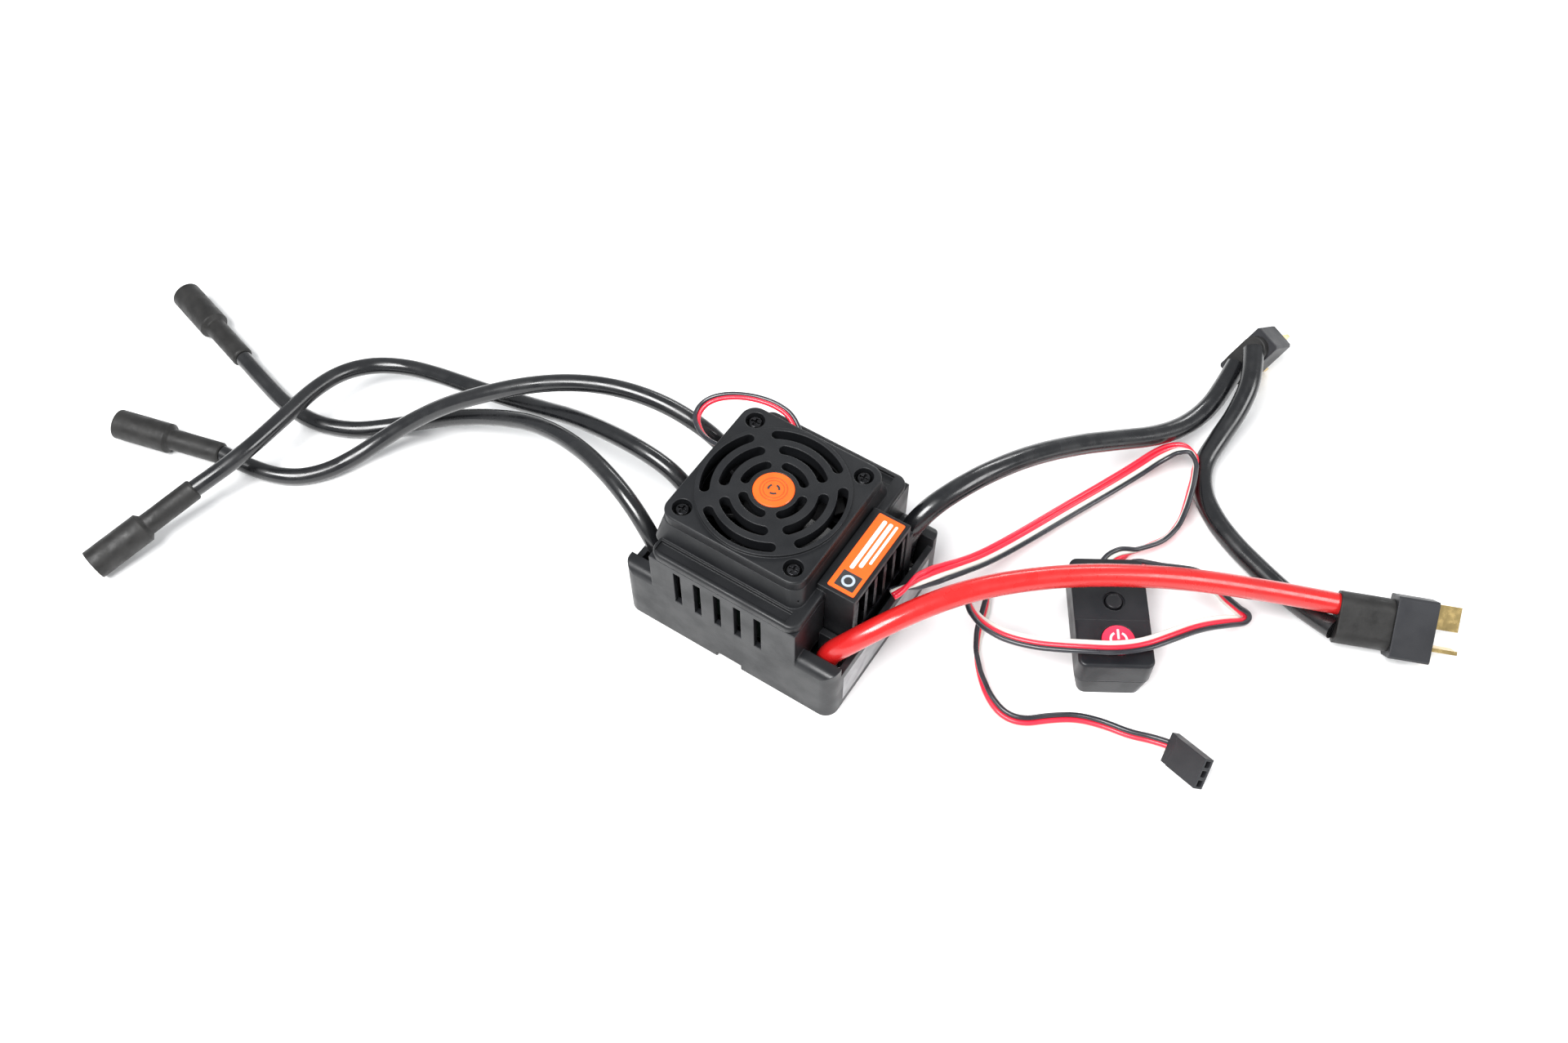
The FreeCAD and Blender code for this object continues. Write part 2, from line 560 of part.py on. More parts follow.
# ---------------------------------------------------------------- leads
ROUTES = {
    "motor_lead_near": ("motor_lead", [
        (-25.2, -17.5, 8.6), (-26.2, -17.4, 15.8), (-30, -16.7, 22.4), (-36.8, -14.2, 26.5),
        (-46, -11, 28), (-57, -7.4, 26.6), (-68.5, -4.6, 23.2), (-80, -3.2, 18.6),
        (-92, -4, 13.2), (-103.5, -6.8, 8.3), (-113.5, -11.6, 4.6), (-121.5, -17.6, 2.8),
        (-129.5, -24, 2.4), (-139.5, -27.6, 2.4), (-150.5, -27.4, 2.4), (-161.7, -24.8, 3),
        (-173, -21.8, 3.9)]),
    "motor_lead_middle": ("motor_lead", [
        (-25.2, 0, 8.6), (-26.2, 0, 15.8), (-30, 0.2, 22.4), (-36.8, 0.6, 26.2), (-46.5, 1, 27),
        (-58, 1.6, 25.6), (-70, 2.6, 21.8), (-82, 2.8, 17.2), (-94, 2.4, 14), (-106, 1.6, 11.8),
        (-117.5, 0.8, 10), (-127.5, -1.2, 9), (-135.5, -6, 9.4), (-140, -13.8, 11),
        (-141.2, -23.5, 12.4), (-141, -33.5, 12.6), (-141, -42.5, 12.8), (-141.6, -50.5, 12.6),
        (-143.5, -58.2, 11.4), (-146, -65.4, 10)]),
    "motor_lead_far": ("motor_lead", [
        (-25.2, 17.5, 8.6), (-26.2, 17.4, 15.8), (-30, 16.7, 22.4), (-36.6, 15.9, 26.9),
        (-46, 15.2, 29.3), (-56, 13.6, 30), (-66, 10.6, 29.8), (-76, 6.2, 28.4),
        (-85.5, 0.6, 26), (-94.5, -5.2, 22.3), (-103.5, -10.8, 17.4), (-111.5, -17, 11.5),
        (-117.5, -24, 6.5), (-121.8, -31.6, 3.4), (-126, -39.4, 2.4), (-132.4, -45.8, 2.4),
        (-142.4, -49.2, 2.8), (-153, -50.4, 3.9)]),
    "battery_lead_red": ("battery_lead", [
        (24.4, -19.3, 8.7), (25, -19.3, 16), (29.2, -18, 22.8), (35, -11.6, 27.8),
        (41.8, -2.2, 30.7), (50, 8.4, 31.6), (60, 18.6, 31), (70.5, 28, 29.4), (82, 37.2, 26.6),
        (93.5, 46, 22.8), (105, 54.2, 18.2), (115.4, 61.4, 14), (125, 67.4, 10.6)]),
    "battery_lead_black": ("battery_lead", [
        (24.4, 18.8, 8.7), (24.6, 18.8, 16), (25.3, 19.9, 23.1), (27.6, 25.2, 27.8),
        (31.2, 33.6, 29.3), (35.6, 44, 28.6), (41, 56.4, 25.2), (48.2, 70, 19.8),
        (56, 81.8, 14.6), (62.8, 91, 11), (67.6, 99.8, 9), (70.4, 108.8, 8.6),
        (71.3, 117.4, 9.7), (71.3, 125.8, 12.4)]),
    "battery_lead_jumper": ("battery_lead", [
        (73.7, 128.8, 17.8), (77.5, 121, 15.7), (78.4, 111.6, 11.4), (77.4, 102.6, 7.6),
        (76.8, 94.4, 4.8), (80.2, 86.8, 3.2), (86.8, 80.4, 2.9), (95, 75.4, 2.9),
        (104.6, 71.4, 2.9), (113.4, 67.8, 3.4), (120.6, 64.8, 4.9), (126.9, 62.7, 6.4)]),
    "switch_ribbon": ("switch_ribbon", [
        (29.9, 3.6, 17.8), (33, 8.4, 19), (36.4, 14.6, 18), (39.4, 21.6, 14.8), (42, 29.4, 10.6),
        (44.6, 38.4, 7), (48, 49, 4.4), (52.2, 60.6, 3), (57.4, 72.4, 3), (62.4, 82.6, 4.4),
        (66.2, 89.6, 7.2), (70.2, 92.6, 9.6), (74.6, 92.2, 9.6), (76.8, 87.8, 8),
        (78.4, 82, 5.6), (79.8, 75.2, 3.6), (79.3, 68.4, 3), (76, 62.4, 3), (72, 57.2, 3.4),
        (69.2, 52.2, 4.2), (70.2, 47.5, 5)]),
    "receiver_ribbon": ("receiver_ribbon", [
        (75, 48.7, 4), (74, 52.6, 3.2), (76.4, 56.2, 2.6), (80.6, 58, 2.4), (85.2, 60.2, 2.4),
        (90.2, 62.4, 2.4), (95.4, 61.2, 2.4), (99.4, 58.8, 2.4), (103.4, 57.4, 2.8),
        (106.8, 55, 4.4), (106.4, 51.8, 7), (103, 47.6, 9.6), (97.8, 40.4, 12.8),
        (93.4, 32.2, 15.3), (89.3, 25.8, 16.2), (83.7, 20.9, 16.4), (78, 17.9, 16.1),
        (72.2, 15.2, 15.2), (66.2, 12.8, 14.2), (59.5, 11.4, 13), (53.6, 11.8, 11.9),
        (48.8, 13.8, 10.6), (44.6, 18, 8.4), (42.4, 23, 5.8), (44, 27.4, 3.6), (47.2, 26, 2.4),
        (48.9, 20.8, 2.4), (50.4, 14.6, 2.4), (53, 8.8, 2.4), (56.8, 3.6, 2.4), (61.6, -1, 2.4),
        (67.2, -3.6, 2.4), (72.6, -2.6, 2.4), (77.8, 2.2, 2.4), (83.3, 6, 2.4), (89.6, 7.9, 2.4),
        (96.2, 8.7, 2.6), (101.6, 10.6, 2.8), (105.5, 11, 3.4)]),
    "fan_lead": ("fan_lead", [
        (-24.9, 9.4, 33), (-28.8, 9.6, 32), (-33, 11, 32.2), (-36.4, 14, 33), (-36, 18.4, 34.8),
        (-31.6, 21.8, 36.6), (-25, 24, 38), (-18.4, 25.2, 38), (-12.8, 24.8, 36.6),
        (-9.4, 21.9, 34.8)]),
}


def cord_path(points):
    """Straight runs joined by the largest tangent arcs that the runs leave room for."""
    spots = [Vector(*point) for point in points]
    edges, radii = [], []
    start = spots[0]
    for before, corner, after in zip(spots, spots[1:], spots[2:]):
        arriving, leaving = corner - before, after - corner
        turn = arriving.getAngle(leaving)
        reach = 0.45 * min(arriving.Length, leaving.Length)
        arriving.normalize()
        leaving.normalize()
        first, last = corner - arriving * reach, corner + leaving * reach
        inward = leaving - arriving
        inward.normalize()
        radius = reach / math.tan(turn / 2)
        rise = radius / math.cos(turn / 2) - radius
        edges.append(Part.LineSegment(start, first).toShape())
        edges.append(Part.Arc(first, corner + inward * rise, last).toShape())
        radii.append(radius)
        start = last
    edges.append(Part.LineSegment(start, spots[-1]).toShape())
    return Part.Wire(edges), radii


def make_cord(name, size_name, points):
    """One plain tube along a route, its volume compared with section times length."""
    diameter = val(size_name)
    path, radii = cord_path(points)
    start = Vector(*points[0])
    heading = Vector(*points[1]) - start
    section = Part.Wire([Part.makeCircle(diameter / 2, start, heading)])
    tube = path.makePipeShell([section], True, False)
    expected = math.pi * diameter ** 2 / 4 * path.Length
    assert abs(tube.Volume / expected - 1) < 0.01, name + " has a wrong volume"
    print("%-20s length %6.1f  smallest radius %5.1f = %.1f diameters"
          % (name, path.Length, min(radii), min(radii) / diameter))
    return node(name, solid(name + "_tube", tube))


# ---------------------------------------------------------------- bullet sockets
# Where the sleeve's small end meets its lead, and a point on the line to its mouth.
SOCKETS = {
    "near": ((-173, -21.8, 3.9), (-204.5, -13.3, 4.6)),
    "middle": ((-146, -65.4, 10), (-154.6, -96, 4.5)),
    "far": ((-153, -50.4, 3.9), (-184.3, -58.9, 4.6)),
}


def along(start, end):
    """A placement that turns the Z axis to run from one point towards another."""
    direction = Vector(*end) - Vector(*start)
    return Placement(Vector(*start), Rotation(Vector(0, 0, 1), direction))


def make_sockets():
    bore = val("socket_bore") / 2
    for name, (start, end) in SOCKETS.items():
        place = along(start, end)
        sleeve = turned("sleeve_" + name, [(0, 0), (2.6, 0), (3, 0.5), (3, 15.4), (4.2, 16.4),
                                           (4.2, 32.2), (3.4, 32.2), (3.4, 16.6), (0, 16.6)])
        sleeve.Placement = place
        node("socket_sleeve_" + name, sleeve)
        socket = turned("socket_" + name, [(0, 16.6), (3.4, 16.6), (3.4, 31.6), (2.6, 32),
                                           (bore, 32), (bore, 18), (0, 18)])
        socket.Placement = place
        node("bullet_socket_" + name, socket)


# ---------------------------------------------------------------- battery plugs
# Directions of each plug: across its two blades, and the way its blades point.
PLUG_LENGTH = 10
PLUGS = {
    "front": ((138.5, 70, 8.6), (-0.283, 0.712, 0.643), (0.929, 0.3697, 0), 13.5),
    "rear": ((73, 129.3, 13.6), (0.361, 0.444, 0.82), (0.225, 0.812, -0.539), 2.5),
}


def facing(middle, across, ahead):
    """A placement with X across and Y ahead."""
    x_axis, y_axis = Vector(*across), Vector(*ahead)
    return Placement(Vector(*middle), Rotation(x_axis, y_axis, x_axis.cross(y_axis), "ZXY"))


def make_plugs():
    for name, (middle, across, ahead, sleeve_length) in PLUGS.items():
        place = facing(middle, across, ahead)
        shell = Part.makeBox(16, PLUG_LENGTH, 8, Vector(-8, 0, -4))
        shell = shell.makeChamfer(0.6, [edge for edge in shell.Edges
                                        if edge.BoundBox.YLength > PLUG_LENGTH - 0.1])
        shell = shell.cut(Part.makeBox(16.4, 1.2, 1.2, Vector(-8.2, 3, 3.4)))
        housing = solid("plug_shell_" + name, shell)
        housing.Placement = place
        node("plug_housing_" + name, housing)
        broad = Part.makeBox(6.4, 6.4, 1, Vector(0.9, PLUG_LENGTH, -0.5))
        upright = Part.makeBox(1, 6.4, 6.4, Vector(-4.6, PLUG_LENGTH, -3.2))
        blades = group("plug_contacts_" + name, [broad, upright])
        blades.Placement = place
        node("plug_blades_" + name, blades)
        spread = 3.3
        sleeve = Part.makeBox(2 * spread, sleeve_length, 7, Vector(-spread, -sleeve_length, -3.5))
        for side in SIDES:
            end = Part.makeCylinder(3.5, sleeve_length, Vector(side * spread, -sleeve_length, 0),
                                    Vector(0, 1, 0))
            sleeve = sleeve.fuse(end)
        cover = solid("plug_shrink_" + name, sleeve.removeSplitter())
        cover.Placement = place
        node("plug_sleeve_" + name, cover)


# ---------------------------------------------------------------- servo plug
SERVO_PLACE = ((110.8, 7.7, 7.3), (0.076, -0.701, -0.709), (0.723, -0.451, 0.523))


def make_servo_plug():
    place = facing(*SERVO_PLACE)
    shell = Part.makeBox(7.8, 14, 2.6, Vector(-3.9, -7, -1.3))
    shell = shell.cut(Part.makeBox(9, 3, 1, Vector(-4.5, -7.5, 0.95)))
    contacts = []
    for index in (-1, 0, 1):
        middle = index * 2.54
        shell = shell.cut(Part.makeBox(1.7, 9, 1.5, Vector(middle - 0.85, -1.9, -0.75)))
        sleeve = Part.makeBox(1.7, 6, 1.5, Vector(middle - 0.85, -1.9, -0.75))
        contacts.append(sleeve.cut(Part.makeBox(0.9, 7, 0.8, Vector(middle - 0.45, -1, -0.4))))
    housing = solid("servo_shell", shell)
    housing.Placement = place
    node("servo_plug_housing", housing)
    metal = group("servo_metal", contacts)
    metal.Placement = place
    node("servo_plug_contacts", metal)


# ---------------------------------------------------------------- switch box
BOX_PLACE = Placement(Vector(77.9, 31.8, 0), Rotation(Vector(0, 0, 1), 31.5))
SET_BUTTON = (0.9, 3.2)
POWER_BUTTON = (0.9, -8.4)


def make_box_shells():
    half_w, half_l = val("box_width") / 2, val("box_length") / 2
    seam = val("box_seam")
    wires = []
    for side_inset, end_inset, z in ((1.5, 0.3, 0), (0, 0, seam)):
        wires.append(rounded_wire(-half_w + side_inset, half_w - side_inset, half_l - end_inset,
                                  2.2, z))
    lower = solid("box_lower_outer", Part.makeLoft(wires, True))
    room = block("box_lower_room", ("-6.7", "-13", "1.2"), ("13.4", "26", "6"))
    shell = cut("box_lower", lower, [room])
    shell.Placement = BOX_PLACE
    node("switch_case_lower", shell)
    upper = prism("box_upper_outer", ("0", "0"), "box_width", "box_length", "2.2",
                  "box_seam + 0.1", "box_height - box_seam - 0.1")
    round_top(upper, doc.box_upper_outer_pad, "0.8", val("box_height"))
    tools = [block("box_upper_room", ("-8.1", "-14.6", "4"), ("16.2", "29.2", "8.4")),
             block("box_step", ("-10", "-2.5", "box_height - 0.4"), ("20", "20", "2"))]
    for name, place, radius in (("set", SET_BUTTON, 2.4), ("power", POWER_BUTTON, 4.4)):
        tools.append(post("box_%s_hole" % name, (*place, "10"), radius, "5"))
    tools.append(post("box_set_recess", (*SET_BUTTON, "box_height - 1"), "2.8", "2"))
    shell = cut("box_upper", upper, tools)
    shell.Placement = BOX_PLACE
    node("switch_case_upper", shell)


def make_box_buttons():
    set_button = turned("set_key", [(0, 10.2), (3, 10.2), (3, 10.8), (2.1, 10.8), (2.1, 13.4),
                                    (1.9, 13.6), (0, 13.6)])
    power_button = turned("power_key", [(0, 10.4), (5, 10.4), (5, 11), (4.2, 11), (4.2, 13.9),
                                        (4, 14.1), (0, 14.1)])
    for name, body, place in (("set_button", set_button, SET_BUTTON),
                              ("power_button", power_button, POWER_BUTTON)):
        spot = BOX_PLACE.multVec(Vector(*place, 0))
        body.Placement = Placement(spot, Rotation())
        node(name, body)
        print(name, "axis at", round(spot.x, 3), round(spot.y, 3))


def make_box_inside():
    board = solid("box_board", Part.makeBox(13, 25.6, 1.2, Vector(-6.5, -12.8, 1.4)))
    board.Placement = BOX_PLACE
    node("switch_board", board)
    keys = []
    for x, y in (SET_BUTTON, POWER_BUTTON):
        base = Part.makeBox(5, 5, 5.8, Vector(x - 2.5, y - 2.5, 2.6))
        keys.append(base.fuse(Part.makeCylinder(1.4, 1.1, Vector(x, y, 8.4))))
    switches = group("box_keys", keys)
    switches.Placement = BOX_PLACE
    node("tact_switches", switches)


# ---------------------------------------------------------------- assembly and export
def check(thing):
    problems = [state for state in thing.State if state in ("Invalid", "Error")]
    if problems:
        raise RuntimeError("%s is %s" % (thing.Label, problems))


def main():
    make_base_tray()
    make_upper_cover()
    make_heatsink()
    make_fan_frame()
    make_fan_rotor()
    make_fan_motor()
    make_fan_guard()
    make_screws()
    make_trim()
    make_electronics()
    for name, (size_name, points) in ROUTES.items():
        make_cord(name, size_name, points)
    make_sockets()
    make_plugs()
    make_servo_plug()
    make_box_shells()
    make_box_buttons()
    make_box_inside()
    doc.recompute()
    for thing in doc.Objects:
        check(thing)
    for name, thing in NODES.items():
        shape = thing.Shape
        if shape.isNull() or not shape.isValid():
            raise RuntimeError(name + " has no valid shape")
    os.makedirs("parts", exist_ok=True)
    for name, thing in NODES.items():
        thing.Shape.exportStep("parts/%s.step" % name)
    print(len(NODES), "nodes written")


main()
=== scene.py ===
"""The looks of the speed controller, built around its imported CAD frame. Lengths are metres."""

import json
import math

import bmesh
import bpy
from mathutils import Euler, Matrix, Vector


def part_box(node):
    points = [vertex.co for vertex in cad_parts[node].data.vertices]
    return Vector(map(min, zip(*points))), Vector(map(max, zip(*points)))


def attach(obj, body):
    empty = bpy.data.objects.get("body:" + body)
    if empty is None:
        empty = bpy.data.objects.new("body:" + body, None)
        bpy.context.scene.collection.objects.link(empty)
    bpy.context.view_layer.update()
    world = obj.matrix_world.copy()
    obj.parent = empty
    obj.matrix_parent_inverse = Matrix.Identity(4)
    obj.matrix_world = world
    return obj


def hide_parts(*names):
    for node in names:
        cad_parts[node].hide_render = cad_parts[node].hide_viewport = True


MM = 0.001
MOTOR_LEAD = 4.7 * MM
BATTERY_LEAD = 5.7 * MM
SWITCH_RIBBON = 5.2 * MM
RECEIVER_RIBBON = 3.9 * MM
FAN_LEAD = 2.3 * MM
STRAND_OVERLAP = 1.04
INK_THICKNESS = 0.03  # millimetres, like the outlines of the marks
SWITCH_BOX_TURN = 31.5
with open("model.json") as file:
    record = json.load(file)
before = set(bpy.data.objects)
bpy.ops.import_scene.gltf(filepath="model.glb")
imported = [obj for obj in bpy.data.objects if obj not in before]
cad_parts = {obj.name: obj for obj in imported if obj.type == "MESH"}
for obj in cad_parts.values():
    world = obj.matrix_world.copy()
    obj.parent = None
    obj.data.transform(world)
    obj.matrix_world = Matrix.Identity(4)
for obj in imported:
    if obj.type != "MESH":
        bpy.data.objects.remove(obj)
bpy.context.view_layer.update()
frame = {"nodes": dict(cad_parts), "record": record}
nodes = frame["nodes"]
UP = Vector((0, 0, 1))


# ---------------------------------------------------------------- camera, floor and light
def add_camera():
    data = bpy.data.cameras.new("camera")
    data.lens = 35.19
    data.sensor_width = 36
    data.clip_start = 0.01
    camera = bpy.data.objects.new("camera", data)
    camera.location = (0.1173, -0.1820, 0.3439)
    camera.rotation_euler = Euler([math.radians(turn) for turn in (34.638, -0.141, 32.98)])
    bpy.context.collection.objects.link(camera)
    bpy.context.scene.camera = camera


def add_area(name, place, target, size, power):
    data = bpy.data.lights.new(name, "AREA")
    data.shape = "RECTANGLE"
    data.size, data.size_y = size
    data.energy = power
    light = bpy.data.objects.new(name, data)
    light.location = place
    aim = Vector(target) - Vector(place)
    light.rotation_euler = aim.to_track_quat("-Z", "Y").to_euler()
    bpy.context.collection.objects.link(light)


def add_studio():
    world = bpy.data.worlds.new("studio")
    world.use_nodes = True
    world.node_tree.nodes["Background"].inputs["Color"].default_value = (0.94, 0.97, 1, 1)
    world.node_tree.nodes["Background"].inputs["Strength"].default_value = 0.52
    bpy.context.scene.world = world
    bpy.context.scene.view_settings.view_transform = "Standard"
    add_area("key", (-0.1, -0.55, 0.95), (0, 0, 0), (0.6, 0.5), 19)
    add_area("side", (0.95, 0.25, 0.7), (0, 0, 0), (0.5, 0.5), 6)
    add_area("back_strip", (-0.2, 0.95, 0.62), (-0.02, 0, 0), (0.5, 0.12), 3)


def add_floor():
    bpy.ops.mesh.primitive_plane_add(size=6, location=(0, 0, -0.00015))
    floor = bpy.context.object
    floor.name = "floor"
    material, shader = new_material("floor_paper", (0.92, 0.92, 0.92), 0.7)
    mottle(material, shader, (0.93, 0.93, 0.93), (0.9, 0.9, 0.895), 6)
    floor.data.materials.append(material)


# ---------------------------------------------------------------- materials
def new_material(name, color, roughness, **sockets):
    """A Principled material; other sockets are given by their names with _ for spaces."""
    material = bpy.data.materials.new(name)
    material.use_nodes = True
    shader = material.node_tree.nodes["Principled BSDF"]
    shader.inputs["Base Color"].default_value = (*color, 1)
    shader.inputs["Roughness"].default_value = roughness
    for socket, value in sockets.items():
        shader.inputs[socket.replace("_", " ")].default_value = value
    return material, shader


def noise(material, scale, detail=4.0, stretch=(1, 1, 1)):
    """Noise laid in the piece's own space, in cycles per metre."""
    tree = material.node_tree
    place = tree.nodes.new("ShaderNodeTexCoord")
    shape = tree.nodes.new("ShaderNodeMapping")
    shape.inputs["Scale"].default_value = stretch
    texture = tree.nodes.new("ShaderNodeTexNoise")
    texture.inputs["Scale"].default_value = scale
    texture.inputs["Detail"].default_value = detail
    tree.links.new(place.outputs["Object"], shape.inputs["Vector"])
    tree.links.new(shape.outputs["Vector"], texture.inputs["Vector"])
    return texture.outputs["Fac"]


def ranged(material, value, low, high, from_low=0.35, from_high=0.65):
    tree = material.node_tree
    remap = tree.nodes.new("ShaderNodeMapRange")
    remap.inputs["From Min"].default_value = from_low
    remap.inputs["From Max"].default_value = from_high
    remap.inputs["To Min"].default_value = low
    remap.inputs["To Max"].default_value = high
    tree.links.new(value, remap.inputs["Value"])
    return remap.outputs["Result"]


def blend_colors(material, factor, first, second):
    tree = material.node_tree
    mix = tree.nodes.new("ShaderNodeMix")
    mix.data_type = "RGBA"
    tree.links.new(factor, mix.inputs["Factor"])
    for socket, color in (("A", first), ("B", second)):
        target = [s for s in mix.inputs if s.name == socket and s.type == "RGBA"][0]
        if isinstance(color, bpy.types.NodeSocket):
            tree.links.new(color, target)
        else:
            target.default_value = (*color, 1)
    return [s for s in mix.outputs if s.type == "RGBA"][0]


def mottle(material, shader, first, second, scale, detail=5.0):
    """Slow colour variation between two tones."""
    color = blend_colors(material, ranged(material, noise(material, scale, detail), 0, 1),
                         first, second)
    material.node_tree.links.new(color, shader.inputs["Base Color"])
    return color


def bump(material, shader, height, distance, strength=1.0, rounding=None):
    tree = material.node_tree
    node = tree.nodes.new("ShaderNodeBump")
    node.inputs["Strength"].default_value = strength
    node.inputs["Distance"].default_value = distance
    tree.links.new(height, node.inputs["Height"])
    if rounding:
        bevel = tree.nodes.new("ShaderNodeBevel")
        bevel.samples = 6
        bevel.inputs["Radius"].default_value = rounding
        tree.links.new(bevel.outputs["Normal"], node.inputs["Normal"])
    tree.links.new(node.outputs["Normal"], shader.inputs["Normal"])


def paint_edge_highlight(material, shader, color, edge_highlight_color, radius):
    """Edges painted a little paler: a painted highlight along the rounded edges."""
    tree = material.node_tree
    bevel = tree.nodes.new("ShaderNodeBevel")
    bevel.samples = 6
    bevel.inputs["Radius"].default_value = radius
    flat = tree.nodes.new("ShaderNodeNewGeometry")
    product = tree.nodes.new("ShaderNodeVectorMath")
    product.operation = "DOT_PRODUCT"
    tree.links.new(bevel.outputs["Normal"], product.inputs[0])
    tree.links.new(flat.outputs["Normal"], product.inputs[1])
    edge = ranged(material, product.outputs["Value"], 0.75, 0, 0.8, 0.995)
    # painted highlight: the edge mask blends a paler colour into the base colour along the edges
    tree.links.new(blend_colors(material, edge, color, edge_highlight_color), shader.inputs["Base Color"])


def moulded(name, color, roughness, grain=2600, depth=0.00004, rounding=0.0004, edge_highlight_lift=2.2):
    """Moulded plastic: fine spark texture, uneven sheen, and a painted highlight that makes the
    edges paler.
    """
    material, shader = new_material(name, color, roughness, Specular_IOR_Level=0.36)
    tone = mottle(material, shader, color, [channel * 1.3 + 0.001 for channel in color], 90)
    # the paler colour of the painted edge highlight
    edge_highlight_color = [min(1, channel * edge_highlight_lift + 0.008) for channel in color]
    paint_edge_highlight(material, shader, tone, edge_highlight_color, rounding)
    bump(material, shader, noise(material, grain, 3), depth, 0.5, rounding)
    sheen = ranged(material, noise(material, 140, 4), roughness - 0.07, roughness + 0.1)
    material.node_tree.links.new(sheen, shader.inputs["Roughness"])
    return material


def metal(name, color, roughness, stretch=(1, 1, 1), scale=900):
    material, shader = new_material(name, color, roughness, Metallic=1.0)
    mottle(material, shader, color, [channel * 0.72 for channel in color], 260)
    bump(material, shader, noise(material, scale, 4, stretch), 0.00003, 0.5, 0.00012)
    polish = ranged(material, noise(material, 500, 4), roughness - 0.08, roughness + 0.14)
    material.node_tree.links.new(polish, shader.inputs["Roughness"])
    return material


def silicone(name, color, tone, roughness=0.24):
    """Soft glossy insulation with a faint extrusion waviness."""
    material, shader = new_material(name, color, roughness, Coat_Weight=0.35, Coat_Roughness=0.12)
    mottle(material, shader, color, tone, 60)
    bump(material, shader, noise(material, 420, 3), 0.00005, 0.4)
    sheen = ranged(material, noise(material, 240, 5), roughness - 0.06, roughness + 0.12)
    material.node_tree.links.new(sheen, shader.inputs["Roughness"])
    return material


def shrink(name):
    """Heat-shrunk tube: matte, dusty, with fine creases."""
    color = (0.008, 0.0076, 0.0072)
    material, shader = new_material(name, color, 0.5, Specular_IOR_Level=0.4)
    mottle(material, shader, color, (0.018, 0.0172, 0.0165), 180)
    bump(material, shader, noise(material, 700, 6), 0.00012, 0.55, 0.0006)
    sheen = ranged(material, noise(material, 320, 4), 0.4, 0.62)
    material.node_tree.links.new(sheen, shader.inputs["Roughness"])
    return material


def printed_film(name, color, tone, roughness):
    material, shader = new_material(name, color, roughness, Coat_Weight=0.25)
    mottle(material, shader, color, tone, 300)
    bump(material, shader, noise(material, 1600, 3), 0.00001, 0.3, 0.0001)
    return material


def make_materials():
    black = (0.006, 0.0064, 0.0075)
    return {
        "black_plastic": moulded("case_plastic", (0.010, 0.0105, 0.012), 0.38),
        "black_cover": moulded("cover_plastic", black, 0.4),
        "black_metal": metal("anodised_sink", (0.035, 0.036, 0.04), 0.35),
        "fan_plastic": moulded("fan_plastic", (0.008, 0.008, 0.009), 0.42),
        "dark_steel": metal("blackened_steel", (0.045, 0.045, 0.048), 0.28),
        "orange_trim": printed_film("orange_print", (0.92, 0.115, 0.004), (0.86, 0.1, 0.003),
                                    0.42),
        "pale_sticker": printed_film("sticker_film", (0.3, 0.3, 0.31), (0.18, 0.18, 0.19), 0.33),
        # the board colour is darkened to near black as painted shade, so the louvre slots look
        # dark
        "board_green": printed_film("solder_mask_painted_shade", (0.0015, 0.006, 0.004), (0.002, 0.008, 0.005),
                                    0.4),
        "chip_black": moulded("chip_resin", (0.02, 0.02, 0.02), 0.5),
        "can_metal": metal("can_aluminium", (0.6, 0.61, 0.63), 0.3),
        "pad_grey": moulded("gap_pad", (0.35, 0.4, 0.45), 0.6),
        "solder_tin": metal("solder", (0.74, 0.74, 0.72), 0.22),
        "copper": metal("copper_wire", (0.8, 0.36, 0.18), 0.3, (1, 1, 8), 2200),
        "iron": metal("core_steel", (0.4, 0.4, 0.41), 0.4, (1, 1, 12), 1500),
        "magnet": moulded("ferrite", (0.05, 0.045, 0.045), 0.6),
        "bronze": metal("sintered_bronze", (0.6, 0.4, 0.2), 0.45),
        "steel": metal("ground_steel", (0.66, 0.66, 0.67), 0.2),
        "black_silicone": silicone("black_silicone", (0.005, 0.0054, 0.0065),
                                   (0.01, 0.0102, 0.0112)),
        "red_silicone": silicone("red_silicone", (0.56, 0.013, 0.012), (0.47, 0.01, 0.01), 0.26),
        "shrink_tube": shrink("heat_shrink"),
        "gold": metal("gold_plate", (0.9, 0.66, 0.28), 0.22),
        "plug_black": moulded("plug_nylon", (0.016, 0.0165, 0.019), 0.45),
        "box_black": moulded("box_plastic", (0.008, 0.0085, 0.0105), 0.36),
        "button_black": moulded("button_rubber", (0.012, 0.012, 0.014), 0.4),
        "button_red": moulded("button_red", (0.62, 0.03, 0.07), 0.3, edge_highlight_lift=1.1),
        "strand_red": silicone("strand_red", (0.85, 0.02, 0.05), (0.74, 0.015, 0.04), 0.34),
        "strand_white": silicone("strand_white", (0.76, 0.74, 0.68), (0.68, 0.66, 0.6), 0.36),
        "strand_black": silicone("strand_black", (0.014, 0.015, 0.02), (0.022, 0.022, 0.028), 0.3),
        "dark_orange": printed_film("dark_orange", (0.5, 0.07, 0.004), (0.45, 0.06, 0.004), 0.4),
        "white_ink": printed_film("white_ink", (0.9, 0.9, 0.9), (0.84, 0.84, 0.84), 0.45),
        "dark_ink": printed_film("dark_ink", (0.02, 0.02, 0.022), (0.03, 0.03, 0.033), 0.45),
        "pale_red": printed_film("pale_red", (0.95, 0.62, 0.66), (0.9, 0.55, 0.6), 0.4),
    }


def dress_cad_nodes():
    for entry in frame["record"]["subparts"]:
        node = nodes[entry["node"]]
        material = MATERIALS.get(entry["material_slot"])
        if material:
            for material_slot in node.material_slots:
                material_slot.material = material


